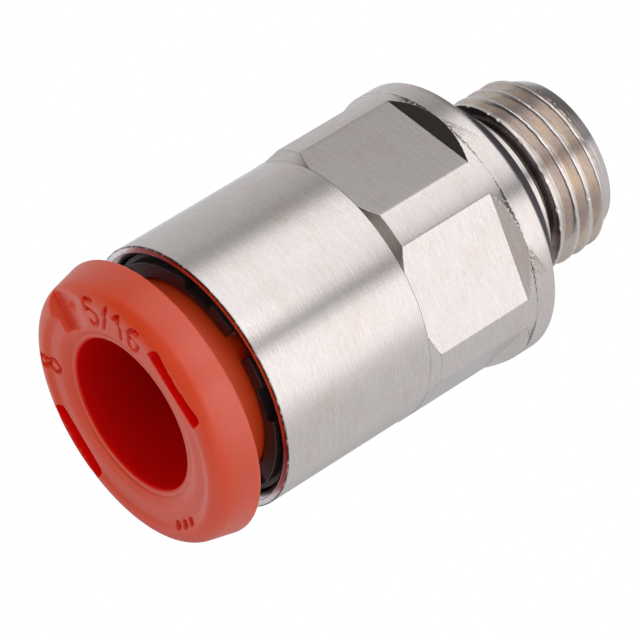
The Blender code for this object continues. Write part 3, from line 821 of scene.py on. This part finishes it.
def orange_acetal():
    """Moulded plastic: saturated and slightly translucent, with a soft gloss and a faint grain. Its hollows
    are painted a dark crimson as shade.
    """
    made, tree, shader = new_material("orange_plastic")
    grain = noise(tree, (9, 9, 9), detail=3)
    cloud = noise(tree, (0.5, 0.5, 0.5), detail=3)
    open_sky = add(tree, "ShaderNodeAmbientOcclusion", {"Distance": 5 * MM}, samples=6).outputs["AO"]
    out = from_axis(tree)
    off_bore = spread(tree, out, 0, 1, SLEEVE_BORE_R + 0.03, SLEEVE_BORE_R + 0.2)
    outside = combine(tree, "MULTIPLY", off_bore, spread(tree, open_sky, 0, 1, 0.3, 0.85, "SMOOTHSTEP"))
    place = place_in_mm(tree)
    along = add(tree, "ShaderNodeSeparateXYZ", {0: place}).outputs["Y"]
    # Cut into the face: behind its surface, and inside the flange's soft edge
    edge_start_r = 6.68
    edge_slope = 0.6
    edge_length = 1.2
    edge_r = spread(tree, along, edge_start_r, edge_start_r + edge_slope * edge_length,
                    SLEEVE_FACE, SLEEVE_FACE + edge_length)
    in_face = product(tree, spread(tree, along, 1, 0, SLEEVE_FACE + 0.7, SLEEVE_FACE + 0.8),
                      spread(tree, out, 0, 1, LEAD_IN_R, LEAD_IN_R + 0.1),
                      spread(tree, combine(tree, "SUBTRACT", out, edge_r), 1, 0, -0.05, 0.05))
    reach = 0.0
    for angle in POCKET_ANGLES:
        a = math.radians(angle)
        towards = add(tree, "ShaderNodeVectorMath", {0: place, 1: (math.sin(a), 0, math.cos(a))},
                      operation="DOT_PRODUCT").outputs["Value"]
        reach = combine(tree, "MAXIMUM", reach, towards)
    in_pocket = product(tree, in_face, spread(tree, reach, 0, 1, 5.38, 5.48),
                        spread(tree, along, 0, 1, SLEEVE_FACE + 0.15, SLEEVE_FACE + 0.2))
    in_scoop = product(tree, in_face, spread(tree, along, 0, 0.5, SLEEVE_FACE + 0.26, SLEEVE_FACE + 0.4))
    sunk = combine(tree, "MAXIMUM", in_pocket, in_scoop)
    outside = combine(tree, "MULTIPLY", outside, combine(tree, "SUBTRACT", 1.0, sunk))
    surface = tint(tree, cloud, (0.80, 0.075, 0.014), (0.75, 0.065, 0.012))
    # Painted shade: the bore, the pockets, the scoop and whatever the AO node finds hemmed in go over to a
    # dark crimson
    deep = add(tree, "ShaderNodeMix", {"Factor": outside, 7: surface}, data_type="RGBA")
    deep.inputs[6].default_value = (0.72, 0.003, 0.002, 1)
    # Light that comes through the thin neck makes it more orange
    on_neck = combine(tree, "MULTIPLY", off_bore,
                      spread(tree, along, 0, 0.7, FLANGE_BACK + 0.1, FLANGE_BACK + 0.9))
    neck = add(tree, "ShaderNodeMix", {"Factor": on_neck, 6: deep.outputs[2]}, data_type="RGBA")
    neck.inputs[7].default_value = (0.75, 0.10, 0.012, 1)
    tree.links.new(neck.outputs[2], shader.inputs["Base Color"])
    gloss = spread(tree, along, 0.75, 1.1, SLEEVE_FACE + 0.6, SLEEVE_FACE + 1.4)
    tree.links.new(combine(tree, "MULTIPLY", gloss, spread(tree, outside, 0.15, 1.0)),
                   shader.inputs["Specular IOR Level"])
    # Light that gets into the pockets through the plastic lights them from inside
    shader.inputs["Emission Color"].default_value = (1.0, 0.004, 0.0, 1)
    tree.links.new(combine(tree, "MULTIPLY", in_pocket, 0.05), shader.inputs["Emission Strength"])
    bump = raised(tree, shader, combine(tree, "MULTIPLY", grain, 0.0012))
    rounded = add(tree, "ShaderNodeBevel", {"Radius": 0.04 * MM}, samples=4)
    tree.links.new(rounded.outputs["Normal"], bump.inputs["Normal"])
    tree.links.new(spread(tree, grain, 0.30, 0.40, 0.3, 0.7), shader.inputs["Roughness"])
    shader.inputs["Subsurface Weight"].default_value = 0.5
    shader.inputs["Subsurface Radius"].default_value = (1.0, 0.2, 0.08)
    shader.inputs["Subsurface Scale"].default_value = 0.9 * MM
    return made


def moulded(name, light, dark, low, high, grain_size=8, relief=0.002):
    """A plain moulded or rubbery surface with fine grain."""
    made, tree, shader = new_material(name)
    grain = noise(tree, (grain_size, grain_size, grain_size), detail=4, roughness=0.6)
    cloud = noise(tree, (0.8, 0.8, 0.8), detail=2)
    tree.links.new(tint(tree, cloud, light, dark), shader.inputs["Base Color"])
    tree.links.new(spread(tree, grain, low, high, 0.3, 0.7), shader.inputs["Roughness"])
    raised(tree, shader, combine(tree, "MULTIPLY", grain, relief))
    return made


def stamped_steel():
    made, tree, shader = new_material("stamped_steel")
    scratches = noise(tree, (1, 3, 14), detail=3)
    tree.links.new(tint(tree, scratches, (0.66, 0.65, 0.64), (0.52, 0.51, 0.50)), shader.inputs["Base Color"])
    tree.links.new(spread(tree, scratches, 0.2, 0.36, 0.3, 0.7), shader.inputs["Roughness"])
    shader.inputs["Metallic"].default_value = 1.0
    raised(tree, shader, combine(tree, "MULTIPLY", scratches, 0.002))
    return made


# ---------------------------------------------------------------- the studio

# Brightness of the studio around the fitting's axis, by angle from straight up: soft boxes and gaps
STUDIO_LEVELS = (
    (-180, 0.48), (-167, 0.42), (-157, 0.42), (-147, 0.54), (-137, 0.76), (-127, 0.66), (-117, 0.52),
    (-97, 0.51), (-77, 0.46), (-57, 0.42), (-46, 0.30), (-37, 0.39), (-27, 0.81), (-17, 0.92), (3, 0.94),
    (23, 0.82), (33, 0.60), (39, 0.34), (43, 0.14), (48, 0.43), (54, 0.90), (63, 1.00), (83, 1.00),
    (93, 0.90), (103, 0.65), (113, 0.57), (123, 0.535), (163, 0.52), (180, 0.48),
)
STUDIO_STRENGTH = 1.12
KEY_SIDE = Vector((0.6, -0.05, 0.8))         # the brightest soft box
KEY_STRENGTH = 1.2
CAMERA_SIDE = Vector((0.1, -0.8, 0.59))      # the unlit side of the studio, where the camera stands
DARK_SIDE = Vector((-0.53, -0.705, 0.467))   # and its darkest part
FAR_SIDE = Vector((-0.3, 0.92, 0.2))         # the dim far end, behind the thread
SOFT_LIGHT_PLACE = Vector((-50, -190, 110))
SOFT_LIGHT_WIDTH = 160
SOFT_LIGHT_POWER = 0.13
FLOOR_RADIUS = 60
CAMERA_AZIMUTH = 48.81
CAMERA_ELEVATION = 44.84
CAMERA_DISTANCE = 235.2
CAMERA_LENS = 271.9
TARGET_SHIFT = Vector((2.633, -3.92, 2.0))   # where the camera looks, from the middle of the fitting


def lobe(tree, direction, towards, level, wide, narrow):
    """1 all around, going over to a level between two angles from a direction."""
    along = add(tree, "ShaderNodeVectorMath", {0: direction, 1: towards}, operation="DOT_PRODUCT")
    return spread(tree, along.outputs["Value"], 1.0, level, math.cos(math.radians(wide)),
                  math.cos(math.radians(narrow)), "SMOOTHSTEP")


def make_studio():
    world = bpy.data.worlds.new("studio")
    bpy.context.scene.world = world
    world.use_nodes = True
    tree = world.node_tree
    background = tree.nodes["Background"]
    direction = add(tree, "ShaderNodeTexCoord").outputs["Generated"]
    parts = add(tree, "ShaderNodeSeparateXYZ", {0: direction})
    around = combine(tree, "ARCTAN2", parts.outputs["X"], parts.outputs["Z"])
    share = spread(tree, around, 0, 1, -math.pi, math.pi)
    ramp = add(tree, "ShaderNodeValToRGB", {"Fac": share})
    stops = ramp.color_ramp.elements
    for stop in list(stops)[1:]:
        stops.remove(stop)
    for i, (angle, level) in enumerate(STUDIO_LEVELS):
        at = (angle + 180) / 360
        stop = stops[0] if i == 0 else stops.new(at)
        stop.position = at
        cool = -160 < angle < -100
        red, blue = (0.97, 1.03) if cool else (1.0, 0.975)
        stop.color = (level * red, level * 0.985, level * blue, 1)
    camera_side = lobe(tree, direction, CAMERA_SIDE, 0.3, 63, 37)
    dark_side = lobe(tree, direction, DARK_SIDE, 0.2, 36, 18)
    key = lobe(tree, direction, KEY_SIDE, 1.0 + KEY_STRENGTH, 30, 16)
    far_side = lobe(tree, direction, FAR_SIDE, 0.28, 45, 20)
    shade = combine(tree, "MULTIPLY", combine(tree, "MULTIPLY", camera_side, dark_side), far_side)
    level = combine(tree, "MULTIPLY", combine(tree, "MULTIPLY", shade, key), STUDIO_STRENGTH)
    warm = tint(tree, camera_side, (1.0, 0.86, 0.78), (1.0, 1.0, 1.0))
    warmed = add(tree, "ShaderNodeVectorMath", {0: ramp.outputs["Color"], 1: warm}, operation="MULTIPLY")
    seen = add(tree, "ShaderNodeLightPath").outputs["Is Camera Ray"]
    picture = add(tree, "ShaderNodeMix", {"Factor": seen, 6: warmed.outputs[0]}, data_type="RGBA")
    picture.inputs[7].default_value = (1, 1, 1, 1)
    strength = add(tree, "ShaderNodeMix", {"Factor": seen, 2: level, 3: 1.0}, data_type="FLOAT")
    tree.links.new(picture.outputs[2], background.inputs["Color"])
    tree.links.new(strength.outputs[0], background.inputs["Strength"])


def make_floor():
    """A pale floor under the fitting, which camera rays see as a plain white glow and other rays as a pale
    diffuse surface.
    """
    bm = bmesh.new()
    bmesh.ops.create_circle(bm, cap_ends=True, segments=64, radius=FLOOR_RADIUS * MM)
    bmesh.ops.translate(bm, vec=(0, 0, body_low.z * MM), verts=bm.verts)
    mesh = bpy.data.meshes.new("floor")
    bm.to_mesh(mesh)
    bm.free()
    made, tree, shader = new_material("floor_white")
    shader.inputs["Base Color"].default_value = (0.85, 0.85, 0.85, 1)
    shader.inputs["Roughness"].default_value = 0.9
    shader.inputs["Specular IOR Level"].default_value = 0.0
    seen = add(tree, "ShaderNodeLightPath").outputs["Is Camera Ray"]
    white = add(tree, "ShaderNodeEmission", {"Color": (1, 1, 1, 1), "Strength": 1.0})
    mix = add(tree, "ShaderNodeMixShader", {"Fac": seen, 1: shader.outputs[0], 2: white.outputs[0]})
    tree.links.new(mix.outputs[0], tree.nodes["Material Output"].inputs["Surface"])
    mesh.materials.append(made)
    floor = bpy.data.objects.new("floor", mesh)
    floor.visible_glossy = False
    bpy.context.scene.collection.objects.link(floor)


def make_soft_light():
    """A large soft light above, which the shiny metal doesn't mirror."""
    data = bpy.data.lights.new("soft_light", "AREA")
    data.shape = "DISK"
    data.size = SOFT_LIGHT_WIDTH * MM
    data.energy = SOFT_LIGHT_POWER
    light = bpy.data.objects.new("soft_light", data)
    light.location = SOFT_LIGHT_PLACE * MM
    light.rotation_mode = "QUATERNION"
    light.rotation_quaternion = light.location.to_track_quat("Z", "Y")
    light.visible_glossy = False
    bpy.context.scene.collection.objects.link(light)


def make_camera():
    azimuth = math.radians(CAMERA_AZIMUTH)
    elevation = math.radians(CAMERA_ELEVATION)
    low, high = CAD_BOX
    target = (low + high) / 2 + TARGET_SHIFT * MM
    back = Vector((math.sin(azimuth) * math.cos(elevation), -math.cos(azimuth) * math.cos(elevation),
                   math.sin(elevation)))
    data = bpy.data.cameras.new("camera")
    data.lens = CAMERA_LENS
    data.sensor_width = 36
    data.clip_start = 10 * MM
    data.clip_end = 10
    camera = bpy.data.objects.new("camera", data)
    camera.location = target + back * CAMERA_DISTANCE * MM
    camera.rotation_mode = "QUATERNION"
    camera.rotation_quaternion = back.to_track_quat("Z", "Y")
    bpy.context.scene.collection.objects.link(camera)
    bpy.context.scene.camera = camera
    bpy.context.scene.view_settings.view_transform = "Standard"


rubber = moulded("rubber", (0.055, 0.046, 0.060), (0.035, 0.030, 0.038), 0.30, 0.45, 6, 0.003)
make_body(nickel())
make_sleeve(orange_acetal())
make_retaining_ring(moulded("black_plastic_grain", (0.030, 0.026, 0.029), (0.020, 0.018, 0.020), 0.32, 0.45))
make_grip_ring(stamped_steel())
make_support_ring(moulded("natural_plastic_grain", (0.75, 0.73, 0.68), (0.68, 0.66, 0.60), 0.4, 0.55))
make_o_ring("tube_seal_skin", "tube_seal", seal_low, seal_high, rubber)
make_o_ring("port_o_ring_skin", "port_o_ring", port_ring_low, port_ring_high, rubber)
make_studio()
make_floor()
make_soft_light()
make_camera()
